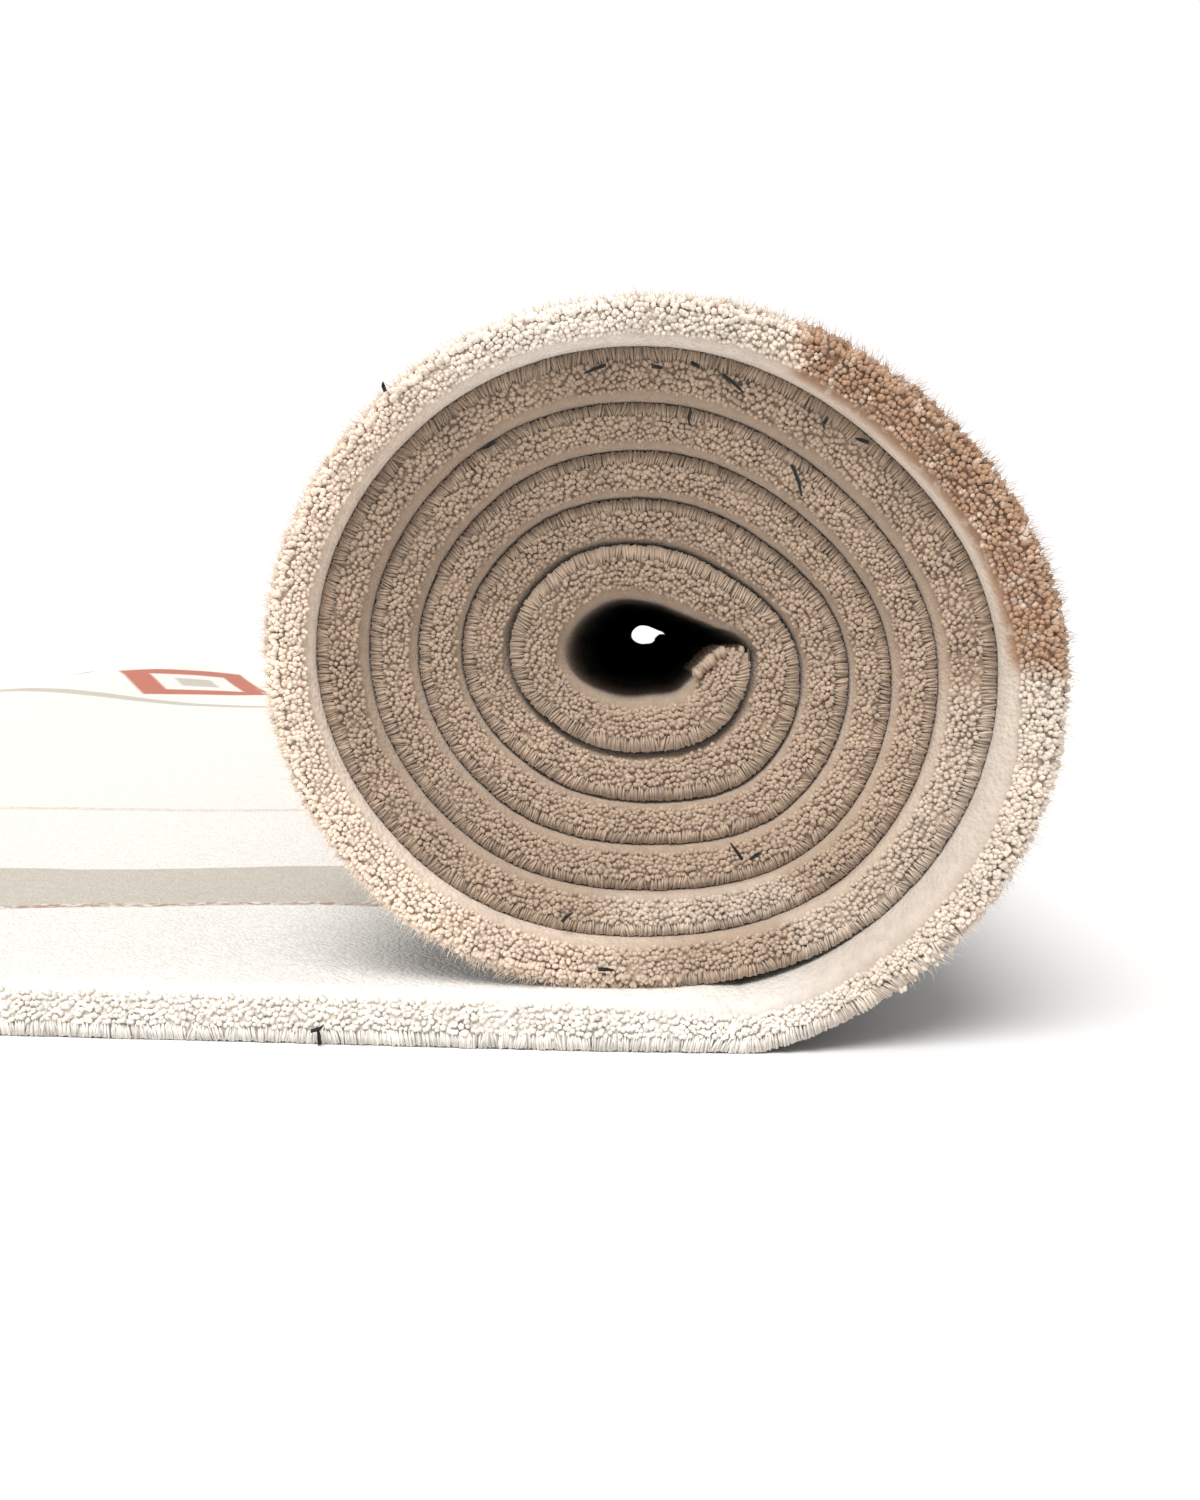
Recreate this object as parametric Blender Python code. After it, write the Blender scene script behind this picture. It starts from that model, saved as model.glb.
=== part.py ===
"""Tufted wool rug, partly rolled up: pile cloth and backing cloth wound pile side in.

Metres, +Z up. The roll lies along Y and rests on its outer turn and on the flat lead that runs
out of it to -X. The winding starts at the lead's far end, comes in along the floor, turns up at
the right of the roll and ends in the eye of the roll.
"""

import math

import bpy

# Driving dimensions
RUG_WIDTH = 2.000          # along the roll
LEAD_LENGTH = 0.950        # flat cloth from its end to the roll's axis; the whole rug is 3.3 m long
BACKING_THICKNESS = 0.0010
GLUE_GAP = 0.0003          # keeps the two cloths separate solids
FREE_THICKNESS = 0.0130    # both cloths, where nothing presses on the pile
EYE_THICKNESS = 0.0138     # the pile opens a little where it lines the eye
TURN_GAP = 0.0008          # air between a pile face and the backing wound over it
FLOOR_SAG = 0.0025         # how far the roll's weight spreads its outer turn down onto the floor
SAG_REACH = 0.025          # height above the floor up to which the outer turn spreads

STEPS_PER_TURN = 40
DIRECTIONS = ("six", "half_four", "three", "half_one", "twelve", "half_ten", "nine", "half_seven")

# One row for each turn, outermost first. "setback" is how far the front edge stands behind that of the
# outermost turn where the row begins, and the other columns are the radius of the backing's outer face
# in eight directions, named as on a clock that is seen from the front. All are in millimetres.
TURNS = (
    dict(setback=0, six=93.5, half_four=98.5, three=97.5, half_one=88.0,
         twelve=85.0, half_ten=89.0, nine=92.5, half_seven=87.5),
    dict(setback=12, six=80.5, half_four=84.5, three=84.0, half_one=75.0,
         twelve=75.0, half_ten=79.0, nine=82.0, half_seven=75.5),
    dict(setback=19, six=69.0, half_four=72.5, three=70.5, half_one=62.0,
         twelve=62.5, half_ten=67.0, nine=70.0, half_seven=64.0),
    dict(setback=26, six=58.5, half_four=63.0, three=60.0, half_one=51.5,
         twelve=51.5, half_ten=55.5, nine=58.5, half_seven=52.5),
    dict(setback=32, six=47.5, half_four=52.0, three=50.0, half_one=41.0,
         twelve=40.0, half_ten=44.5, nine=48.0, half_seven=41.0),
    dict(setback=37, six=37.0, half_four=40.5, three=38.0, half_one=29.0,
         twelve=28.5, half_ten=33.0, nine=36.0, half_seven=28.5),
    dict(setback=39, six=24.5, half_four=26.0, three=26.0, half_one=24.0),
)
END_TURNS = 6 + 95 / 360   # the winding stops a little past three o'clock of the seventh row
NOSE_STEPS = 5             # steps over which the pile rounds off at the inner end
NOSE_END_SHARE = 0.34      # share of the thickness that is left at the very end
FREE_STEPS = 2             # steps over which the pile opens towards the eye

# The lead, from the roll outwards: distance from the roll's axis, setback of the front edge and height of
# the low wave at the far edge, in millimetres. The rug's own end follows the last row.
LEAD = (
    dict(distance=30, setback=1, wave=0),
    dict(distance=90, setback=5, wave=0),
    dict(distance=180, setback=10, wave=0),
    dict(distance=320, setback=11, wave=0),
    dict(distance=460, setback=11, wave=0),
    dict(distance=520, setback=11, wave=5),
    dict(distance=570, setback=11, wave=16),
    dict(distance=620, setback=11, wave=30),
    dict(distance=665, setback=11, wave=40),
    dict(distance=710, setback=11, wave=42),
    dict(distance=755, setback=11, wave=35),
    dict(distance=805, setback=11, wave=20),
    dict(distance=860, setback=11, wave=7),
    dict(distance=910, setback=11, wave=0),
)
WAVE_SPREAD = ((0.0, 0.0), (0.35, 0.0), (0.5, 0.06), (0.62, 0.2), (0.74, 0.45), (0.86, 0.76), (1.0, 1.0))
NIP_LENGTH = 0.080         # length of lead over which the roll presses the pile

SHARP_EDGE = math.radians(40)

WOOL_COLOUR = (0.72, 0.63, 0.53, 1.0)
BACKING_COLOUR = (0.045, 0.04, 0.038, 1.0)


def table_value(values, place):
    """Smooth curve through evenly spaced values (Catmull-Rom), read at a fractional place."""
    index = min(int(place), len(values) - 2)
    t = place - index
    before = values[max(index - 1, 0)]
    start, end = values[index], values[index + 1]
    after = values[min(index + 2, len(values) - 1)]
    slope_in, slope_out = (end - before) / 2, (after - start) / 2
    ease = t * t * (3 - 2 * t)
    return (start + (end - start) * ease
            + slope_in * t * (1 - t) ** 2
            - slope_out * t * t * (1 - t))


RADII = [row[name] / 1000 for row in TURNS for name in DIRECTIONS if name in row]
SETBACKS = [row["setback"] / 1000 for row in TURNS]
SETBACKS.append(2 * SETBACKS[-1] - SETBACKS[-2])
AXIS_HEIGHT = RADII[0]


def radius(turns):
    """Radius of the backing's outer face after so many turns from six o'clock of the first row."""
    return table_value(RADII, turns * len(DIRECTIONS))


def free_part(turns):
    """0 while a further turn lies inside this one, 1 once its pile faces the open eye."""
    return min(max((turns + 1 - END_TURNS) * STEPS_PER_TURN / FREE_STEPS, 0.0), 1.0)


def thickness(turns):
    """Both cloths together, as pressed between this turn and the next one in."""
    free = free_part(turns)
    if free >= 1:
        return EYE_THICKNESS
    pressed = radius(turns) - radius(min(turns + 1, END_TURNS)) - TURN_GAP
    return pressed + (EYE_THICKNESS - pressed) * free


def nose(turns):
    """Rounds the pile off at the inner end: 1 along the cloth, falling to a third at the very end."""
    to_end = (END_TURNS - turns) * STEPS_PER_TURN / NOSE_STEPS
    if to_end >= 1:
        return 1.0
    return NOSE_END_SHARE + (1 - NOSE_END_SHARE) * math.sqrt(1 - (1 - to_end) ** 2)


def on_floor(height):
    """Height of the outer turn once the roll's weight has spread it on the floor."""
    above = min(height / SAG_REACH, 1.0)
    return max(height - FLOOR_SAG * (1 - above) ** 2, 0.0)


def wound_stations():
    """Points of the winding, outermost first: (outer x, outer z, direction x, z, thickness, setback)."""
    stations = []
    count = math.ceil(END_TURNS * STEPS_PER_TURN)
    for step in range(count + 1):
        turns = min(step / STEPS_PER_TURN, END_TURNS)
        angle = math.radians(270) + turns * 2 * math.pi
        inward = (-math.cos(angle), -math.sin(angle))
        x = -radius(turns) * inward[0]
        round_z = AXIS_HEIGHT - radius(turns) * inward[1]
        z = on_floor(round_z) if turns < 0.5 else round_z
        thick = min(thickness(turns) * nose(turns) + round_z - z, EYE_THICKNESS)
        stations.append((x, z, *inward, thick, table_value(SETBACKS, turns)))
    return stations


WINDING = wound_stations()
ROLL_RIGHT = max(station[0] for station in WINDING)
AXIS_X = (LEAD_LENGTH - ROLL_RIGHT) / 2
DEEPEST_SETBACK = WINDING[-1][5]
FRONT_Y = -(RUG_WIDTH + DEEPEST_SETBACK) / 2


def lead_rows():
    """The lead's rows in metres, from its far end to the roll, with the pile's thickness at each."""
    rows = [(LEAD_LENGTH, LEAD[-1]["setback"] / 1000, 0.0, FREE_THICKNESS)]
    for row in reversed(LEAD):
        distance = row["distance"] / 1000
        ease = min(distance / NIP_LENGTH, 1.0)
        ease = ease * ease * (3 - 2 * ease)
        pressed = thickness(0)
        thick = pressed + (FREE_THICKNESS - pressed) * ease
        rows.append((distance, row["setback"] / 1000, row["wave"] / 1000, thick))
    return rows


def cloth_sections(bottom, top_inset):
    """Pairs of rows of points, under and over, one pair for each station of the cloth.

    bottom is how far the under side stands inside the backing's outer face, and top_inset how far the
    over side stands inside the pile's face: a function of the station's whole thickness.
    """
    sections = []
    for distance, setback, wave, thick in lead_rows():
        under, over = [], []
        for part, share in WAVE_SPREAD:
            y = FRONT_Y + setback + part * RUG_WIDTH
            lift = wave * share
            under.append((AXIS_X - distance, y, lift + bottom))
            over.append((AXIS_X - distance, y, lift + top_inset(thick)))
        sections.append((under, over))
    for x, z, inward_x, inward_z, thick, setback in WINDING:
        under, over = [], []
        for y in (FRONT_Y + setback, FRONT_Y + setback + RUG_WIDTH):
            for row, depth in ((under, bottom), (over, top_inset(thick))):
                row.append((AXIS_X + x + inward_x * depth, y, z + inward_z * depth))
        sections.append((under, over))
    return sections


def skin(first, second):
    """Triangles between two rows of corner numbers, which may differ in how many corners they have.

    Every side of both cloths is split along the same diagonals, so that they stay parallel on the wave.
    """
    faces = []
    last = len(second) - 1
    for i in range(len(first) - 1):
        if i < last or len(first) == len(second):
            faces.append((first[i], first[i + 1], second[i + 1]))
            faces.append((first[i], second[i + 1], second[i]))
        else:
            faces.append((first[i], first[i + 1], second[last]))
    return faces


def loft_cloth(name, sections, colour, roughness, collection):
    """A closed cloth through its sections: both sides, both long edges and both ends.

    Its thickness changes from station to station, so it is lofted between its own rows of points.
    """
    points, rows = [], []
    for under, over in sections:
        numbers = []
        for row in (under, over):
            numbers.append(list(range(len(points), len(points) + len(row))))
            points.extend(row)
        rows.append(numbers)
    faces = []
    for (under_a, over_a), (under_b, over_b) in zip(rows, rows[1:]):
        faces.extend(skin(under_a, under_b))
        faces.extend(face[::-1] for face in skin(over_a, over_b))
        faces.append((under_a[0], under_b[0], over_b[0], over_a[0]))
        faces.append((over_a[-1], over_b[-1], under_b[-1], under_a[-1]))
    first_under, first_over = rows[0]
    last_under, last_over = rows[-1]
    for i in range(len(first_under) - 1):
        faces.append((first_under[i + 1], first_under[i], first_over[i], first_over[i + 1]))
    for i in range(len(last_under) - 1):
        faces.append((last_under[i], last_under[i + 1], last_over[i + 1], last_over[i]))

    mesh = bpy.data.meshes.new(name)
    mesh.from_pydata(points, [], faces)
    mesh.update()
    mesh.shade_smooth()
    mesh.set_sharp_from_angle(angle=SHARP_EDGE)
    mesh.materials.append(cloth_material(name, colour, roughness))
    cloth = bpy.data.objects.new(name, mesh)
    collection.objects.link(cloth)
    return cloth


def cloth_material(name, colour, roughness):
    material = bpy.data.materials.new(name)
    material.use_nodes = True
    shader = material.node_tree.nodes["Principled BSDF"]
    shader.inputs["Base Color"].default_value = colour
    shader.inputs["Roughness"].default_value = roughness
    shader.inputs["Metallic"].default_value = 0.0
    return material


def main():
    for old in list(bpy.data.objects):
        bpy.data.objects.remove(old, do_unlink=True)
    collection = bpy.data.collections.new("rolled_up_carpet")
    bpy.context.scene.collection.children.link(collection)

    backing = cloth_sections(0.0, lambda thick: BACKING_THICKNESS)
    pile = cloth_sections(BACKING_THICKNESS + GLUE_GAP, lambda thick: thick)
    loft_cloth("rug_backing", backing, BACKING_COLOUR, 0.9, collection)
    loft_cloth("rug_pile", pile, WOOL_COLOUR, 0.95, collection)


main()
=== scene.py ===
# %% [markdown]
# # A tufted wool rug, partly rolled up
# Hand tufted rugs are thick: wool yarn is punched through a base cloth, a dark backing is glued
# under it and the pile is cut level. Rolled pile side in, such a rug makes an open eye, and each
# turn slides a little behind the one outside it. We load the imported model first, because every
# piece has to lie exactly where its solid lies.

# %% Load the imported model
import math

import bpy
import numpy as np
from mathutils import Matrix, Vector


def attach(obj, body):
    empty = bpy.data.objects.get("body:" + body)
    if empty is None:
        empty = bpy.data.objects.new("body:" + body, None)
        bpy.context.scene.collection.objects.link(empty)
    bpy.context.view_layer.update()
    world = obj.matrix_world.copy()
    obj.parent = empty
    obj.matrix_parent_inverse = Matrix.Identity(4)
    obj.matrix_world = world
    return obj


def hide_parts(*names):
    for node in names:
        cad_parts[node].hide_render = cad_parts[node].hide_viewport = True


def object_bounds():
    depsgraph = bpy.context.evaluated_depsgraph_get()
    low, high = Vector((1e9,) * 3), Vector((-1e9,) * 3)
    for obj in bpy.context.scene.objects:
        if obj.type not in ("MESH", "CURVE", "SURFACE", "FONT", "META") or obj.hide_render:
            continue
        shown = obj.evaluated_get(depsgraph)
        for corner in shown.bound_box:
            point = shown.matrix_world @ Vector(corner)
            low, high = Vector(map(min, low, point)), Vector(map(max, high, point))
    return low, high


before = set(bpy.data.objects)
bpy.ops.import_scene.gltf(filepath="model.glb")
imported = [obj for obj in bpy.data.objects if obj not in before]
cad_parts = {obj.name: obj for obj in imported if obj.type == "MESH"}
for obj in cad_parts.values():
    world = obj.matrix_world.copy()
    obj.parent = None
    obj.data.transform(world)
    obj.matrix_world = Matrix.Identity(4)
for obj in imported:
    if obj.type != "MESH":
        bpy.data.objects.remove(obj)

MM = 0.001
CAD_LOW, CAD_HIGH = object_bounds()
chance = np.random.default_rng(23)
print("model box in mm:", [round(side / MM) for side in CAD_HIGH - CAD_LOW])

# %% [markdown]
# ## The route of the cloth
# Everything here follows one line: the winding of the backing's outer face, seen from the front. It
# comes in along the floor, turns up at the right of the roll and winds inwards. Six turns are too
# uneven for a formula, so each turn is a row of radii in eight clock directions, with a smooth curve
# through them. The same rows shape the solids, so the looks fit the model with nothing to adjust.

# %% The winding's rows
LEAD_LENGTH = 950 * MM
BACKING_THICKNESS = 0.5 * MM
FREE_THICKNESS = 13.0 * MM
EYE_THICKNESS = 13.8 * MM
TURN_GAP = 0.25 * MM
DIRECTIONS = ("six", "half_four", "three", "half_one", "twelve", "half_ten", "nine", "half_seven")
TURNS = (
    dict(setback=0, six=93.5, half_four=98.5, three=97.5, half_one=88.0,
         twelve=85.0, half_ten=89.0, nine=92.5, half_seven=87.5),
    dict(setback=12, six=80.5, half_four=84.5, three=84.0, half_one=75.0,
         twelve=75.0, half_ten=79.0, nine=82.0, half_seven=75.5),
    dict(setback=19, six=69.0, half_four=72.5, three=70.5, half_one=62.0,
         twelve=62.5, half_ten=67.0, nine=70.0, half_seven=64.0),
    dict(setback=26, six=58.5, half_four=63.0, three=60.0, half_one=51.5,
         twelve=51.5, half_ten=55.5, nine=58.5, half_seven=52.5),
    dict(setback=32, six=47.5, half_four=52.0, three=50.0, half_one=41.0,
         twelve=40.0, half_ten=44.5, nine=48.0, half_seven=41.0),
    dict(setback=37, six=37.0, half_four=40.5, three=38.0, half_one=29.0,
         twelve=28.5, half_ten=33.0, nine=36.0, half_seven=28.5),
    dict(setback=39, six=24.5, half_four=26.0, three=26.0, half_one=24.0),
)
END_TURNS = 6 + 95 / 360
RADII = [row[name] * MM for row in TURNS for name in DIRECTIONS if name in row]
SETBACKS = [row["setback"] * MM for row in TURNS] + [41 * MM]
AXIS_HEIGHT = RADII[0]
AXIS_X = CAD_LOW.x + LEAD_LENGTH
FRONT_Y = CAD_LOW.y


def through(values, places):
    """Smooth curve through evenly spaced values, read at fractional places."""
    values = np.asarray(values, float)
    index = np.clip(places.astype(int), 0, len(values) - 2)
    t = places - index
    before, start, end, after = (
        values[np.clip(index + step, 0, len(values) - 1)] for step in (-1, 0, 1, 2))
    ease = t * t * (3 - 2 * t)
    slopes = (end - before) / 2 * t * (1 - t) ** 2 - (after - start) / 2 * t * t * (1 - t)
    return start + (end - start) * ease + slopes


def radius(turns):
    return through(RADII, np.asarray(turns, float) * len(DIRECTIONS))


print("the roll's axis is", round(AXIS_HEIGHT / MM, 1), "mm above the floor")

# %% [markdown]
# ## How thick the pile is, and how long the cloth
# Inside the roll the pile is pressed between two turns, so its thickness is the room between them. On
# the lead and in the eye nothing presses on it and it stands at its own height. With the thickness
# known everywhere, one function can turn rug places (how far along, how far across, how deep) into
# places in the room. All the pieces below are made with it.

# %% From rug places to places in the room
FREE_STEPS = 18 / 360       # share of a turn over which the pile opens towards the eye
NOSE_TURN = 45 / 360        # share of a turn over which the inner end rounds off
NOSE_END_SHARE = 0.34       # share of the thickness that the inner end keeps
FLOOR_SAG = 2.5 * MM
SAG_REACH = 25 * MM
NIP_LENGTH = 80 * MM
END_ROUNDING = 8 * MM       # along the rug, at the lead's end
SIDE_SHARE = 0.25           # share of the pile's height that shows yarn from the side
# The lead, by its distance from the roll's axis: how far it is set back, and how high its wave rises.
LEAD_DISTANCE = np.array((0, 30, 90, 180, 320, 460, 520, 570, 620, 665, 710, 755, 805, 860, 910, 950)) * MM
LEAD_SETBACK = np.array((0, 1, 5, 10, 11, 11, 11, 11, 11, 11, 11, 11, 11, 11, 11, 11)) * MM
LEAD_WAVE = np.array((0, 0, 0, 0, 0, 0, 5, 16, 30, 40, 42, 35, 20, 7, 0, 0)) * MM
WAVE_PARTS = (0.0, 0.35, 0.5, 0.62, 0.74, 0.86, 1.0)
WAVE_SHARES = (0.0, 0.0, 0.06, 0.2, 0.45, 0.76, 1.0)


def wound_thickness(turns):
    pressed = radius(turns) - radius(np.minimum(turns + 1, END_TURNS)) - TURN_GAP
    free = np.clip((turns + 1 - END_TURNS) / FREE_STEPS, 0, 1)
    pressed = np.where(turns + 1 > END_TURNS + FREE_STEPS, 0, pressed)
    nose = np.clip((END_TURNS - turns) / NOSE_TURN, 0, 1)
    taper = NOSE_END_SHARE + (1 - NOSE_END_SHARE) * np.sqrt(1 - (1 - nose) ** 2)
    return (pressed * (1 - free) + EYE_THICKNESS * free) * taper


def rounded(values, width):
    """Takes the corners off a table read in straight runs."""
    kernel = np.hanning(width + 2)
    padded = np.pad(values, width, mode="edge")
    return np.convolve(padded, kernel / kernel.sum(), mode="same")[width:-width]


turns = np.linspace(0, END_TURNS, 4600)
angle = math.radians(270) + turns * 2 * math.pi
inward = np.stack((-np.cos(angle), -np.sin(angle)), axis=1)
round_z = AXIS_HEIGHT - radius(turns) * inward[:, 1]
above = np.clip(round_z / SAG_REACH, 0, 1)
spread_z = np.maximum(round_z - FLOOR_SAG * (1 - above) ** 2, 0)
wound_z = np.where(turns < 0.5, spread_z, round_z)
wound_thick = np.minimum(wound_thickness(turns) + round_z - wound_z, EYE_THICKNESS)
wound_x = -radius(turns) * inward[:, 0]
WOUND_SETBACK = through(SETBACKS, turns)

distance = np.linspace(LEAD_LENGTH, 0, 900, endpoint=False)
ease = np.clip(distance / NIP_LENGTH, 0, 1)
ease = ease * ease * (3 - 2 * ease)
lead_thick = wound_thick[0] + (FREE_THICKNESS - wound_thick[0]) * ease
lead_setback = rounded(np.interp(distance, LEAD_DISTANCE, LEAD_SETBACK), 40)
lead_wave = rounded(np.interp(distance, LEAD_DISTANCE, LEAD_WAVE), 40)

ROUTE_X = np.concatenate((-distance, wound_x))
ROUTE_Z = np.concatenate((distance * 0, wound_z))
ROUTE_IN_X = np.concatenate((distance * 0, inward[:, 0]))
ROUTE_IN_Z = np.concatenate((distance * 0 + 1, inward[:, 1]))
ROUTE_THICK = np.concatenate((lead_thick, wound_thick))
ROUTE_SETBACK = np.concatenate((lead_setback, WOUND_SETBACK))
ROUTE_WAVE = np.concatenate((lead_wave, wound_x * 0))
steps = np.hypot(np.diff(ROUTE_X), np.diff(ROUTE_Z))
ALONG = np.concatenate(([0], np.cumsum(steps)))
ROLL_START = ALONG[len(distance)]
RUG_LENGTH = ALONG[-1]
RUG_WIDTH = CAD_HIGH.y - CAD_LOW.y - WOUND_SETBACK[-1]
ROUTE_TURNS = np.concatenate((-distance, turns))


def wound_to(turns_in):
    """How far along the rug lies a place so many turns into the roll."""
    return float(np.interp(turns_in, ROUTE_TURNS, ALONG))


def thickness(along):
    """The pile's full height, rounded down to its side yarn at the lead's end."""
    rounding = np.sqrt(1 - (1 - np.clip(along / END_ROUNDING, 0, 1)) ** 2)
    return np.interp(along, ALONG, ROUTE_THICK) * (SIDE_SHARE + (1 - SIDE_SHARE) * rounding)


def room_place(along, across, depth):
    """Places in the room of rug places: along from the lead's end, across from the near edge, and
    depth from the backing's outer face towards the pile."""
    x, z, in_x, in_z, setback, wave = (
        np.interp(along, ALONG, values)
        for values in (ROUTE_X, ROUTE_Z, ROUTE_IN_X, ROUTE_IN_Z, ROUTE_SETBACK, ROUTE_WAVE))
    lift = wave * np.interp(across / RUG_WIDTH, WAVE_PARTS, WAVE_SHARES)
    return np.stack((AXIS_X + x + in_x * depth, FRONT_Y + setback + across, z + in_z * depth + lift), axis=-1)


def room_directions(along, across):
    """Unit directions at a rug place: along the winding, and from the backing to the pile."""
    step = 0.5 * MM
    ahead = room_place(along + step, across, 0 * along) - room_place(along - step, across, 0 * along)
    ahead[:, 1] = 0
    ahead /= np.linalg.norm(ahead, axis=1)[:, None]
    pile_side = np.stack((-ahead[:, 2], 0 * along, ahead[:, 0]), axis=1)
    return ahead, pile_side


print("rug in mm:", round(RUG_WIDTH / MM), "x", round(RUG_LENGTH / MM))
print("of which is rolled in mm:", round((RUG_LENGTH - ROLL_START) / MM))

# %% [markdown]
# ## Materials by wiring nodes
# A material is a small tree of nodes. One helper adds a node, sets it and links its inputs, so that
# each tree below reads like a recipe. Colours are picked as sRGB hex, as in any paint program, and
# Blender's shaders work in linear light, so one function turns the one into the other.

# %% A helper for nodes, and colours as hex
def linear(hex_colour, alpha=1.0):
    """An sRGB hex colour as the linear colour that shaders take."""
    channels = [int(hex_colour[i:i + 2], 16) / 255 for i in (0, 2, 4)]
    return (*[c / 12.92 if c <= 0.04045 else ((c + 0.055) / 1.055) ** 2.4 for c in channels], alpha)


def add(tree, kind, inputs=None, **settings):
    """Adds a node with its settings. inputs maps a socket's name or number to a value or to a socket."""
    node = tree.nodes.new(kind)
    for name, value in settings.items():
        setattr(node, name, value)
    for name, value in (inputs or {}).items():
        if isinstance(value, bpy.types.NodeSocket):
            tree.links.new(value, node.inputs[name])
        else:
            node.inputs[name].default_value = value
    return node


def new_material(name, roughness, **sockets):
    material = bpy.data.materials.new(name)
    material.use_nodes = True
    shader = material.node_tree.nodes["Principled BSDF"]
    shader.inputs["Roughness"].default_value = roughness
    for socket, value in sockets.items():
        shader.inputs[socket.replace("_", " ")].default_value = value
    return material, material.node_tree, shader


def calc(tree, operation, *values):
    """A maths node on one to three values or sockets."""
    return add(tree, "ShaderNodeMath", dict(enumerate(values)), operation=operation).outputs[0]


def remap(tree, value, start, end, low=0.0, high=1.0, kind="LINEAR"):
    """Turns the stretch from start to end into the one from low to high, and clamps what lies outside."""
    ends = {"Value": value, "From Min": start, "From Max": end, "To Min": low, "To Max": high}
    return add(tree, "ShaderNodeMapRange", ends, interpolation_type=kind).outputs[0]


def noise(tree, place, grain, detail):
    """Cloudy noise whose largest blots are about a grain wide."""
    return add(tree, "ShaderNodeTexNoise", {"Vector": place, "Scale": 1 / grain, "Detail": detail}).outputs[0]


def attribute(tree, name, output="Fac"):
    return add(tree, "ShaderNodeAttribute", attribute_name=name).outputs[output]


def plain_material(name, colour, roughness, **sockets):
    """A material of one even colour."""
    return new_material(name, roughness, Base_Color=linear(colour), **sockets)[0]


def band(tree, value, start, end, soft):
    """1 where value lies between start and end, with soft edges that wide."""
    rise = remap(tree, value, start - soft, start + soft, kind="SMOOTHSTEP")
    fall = remap(tree, value, end - soft, end + soft, 1.0, 0.0, kind="SMOOTHSTEP")
    return calc(tree, "MULTIPLY", rise, fall)


def paint(tree, below, mask, colour):
    """Lays a colour over what is below it, where the mask says."""
    mix = add(tree, "ShaderNodeMix", data_type="RGBA")
    for socket, value in ((mix.inputs[0], mask), (mix.inputs[6], below), (mix.inputs[7], colour)):
        if isinstance(value, bpy.types.NodeSocket):
            tree.links.new(value, socket)
        else:
            socket.default_value = value
    return mix.outputs[2]


# %% [markdown]
# ## Wool pile
# Cut wool pile is matt: light sinks between the fibres, comes back warmer from the gaps, and the
# fibres' ends catch a soft sheen. Part of the warm dark in the gaps is painted shade, laid into the
# yarn's colour towards its roots. The yarn is dyed before tufting, so the pattern belongs to rug
# places and not to the room: every piece carries an attribute, rug_place, with its distance across
# and along the rug and its depth in the pile. The field is off-white at the lead and turns beige in
# the roll, with a grey beige stripe, thin brown lines, a brown patch and a plain row of lozenges.
# The beige in the roll is partly painted shade, and the outer turn carries painted shade low on the
# right and painted light on its top.

# %% The dyes, the painted light and shade, and where the pattern lies
# The second colour below is painted shade on the outer turn's lower right and the fourth is painted light on
# its top; the third is the outer turn's own cream.
OFF_WHITE, OUTER_LOW_PAINTED_SHADE, OUTER_PINK, OUTER_TOP_PAINTED_LIGHT = (
    linear("F2EDE5"), linear("DACCBD"), linear("EEDCCA"), linear("F6ECE0"))
# The beige below is partly the wool's own colour and partly painted shade, as the inner turns lie in shade;
# the sand patches share that darkening.
BEIGE_AND_PAINTED_SHADE, SAND = linear("B8A28D"), linear("AB957F")
STRIPE_GREY, LINE_BROWN, FAINT_LINE = linear("C6BDAE"), linear("9A7050"), linear("D2B49C")
PATCH_BROWN, PALE_GREY, TERRACOTTA = linear("AD8A6E"), linear("DCCFC0"), linear("BE5E3C")
# The colour below is painted shade: a warm, darker colour mixed into the wool towards the yarn roots and
# under the edge knobs, where shade falls between the fibres.
PAINTED_GAP_SHADE = linear("B08D70")  # light that comes back from deep between the fibres
STRIPE = (121 * MM, 200 * MM)
BROWN_LINE = (114 * MM, 121 * MM)
THIN_LINE = (392 * MM, 404 * MM)
STRIPE_SHIFT = 9 * MM       # the stripes bend by this to either side where the lead meets the roll
# Where the outer turn's colours lie: its cream, with painted shade on the lower right and painted light on
# the top.
OUTER_CREAM_AND_PAINTED_LIGHT = ((0.06, 0.30, OUTER_LOW_PAINTED_SHADE), (0.28, 1.2, OUTER_PINK), (0.46, 0.60, OUTER_TOP_PAINTED_LIGHT))
BROWN_PATCH = (wound_to(88 / 360), wound_to(158 / 360))
PALE_PATCHES = ((wound_to(159 / 360), wound_to(182 / 360)),
                (wound_to(1 + 28 / 360), wound_to(1 + 82 / 360)),
                (wound_to(1 + 350 / 360), wound_to(2 + 34 / 360)))
PATCH_WIDTH = 6 * MM        # across the rug, from its near edge
BORDER_BAR = (1430 * MM, 1475 * MM)
LOZENGE_PITCH, LOZENGE_MIDDLE, LOZENGE_SLOPE = 120 * MM, 1750 * MM, 0.45
LOZENGE_FRAME, LOZENGE_HEART = (62 * MM, 104 * MM), 30 * MM
print("brown patch runs", [round(value / MM) for value in BROWN_PATCH], "mm along the rug")


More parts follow.
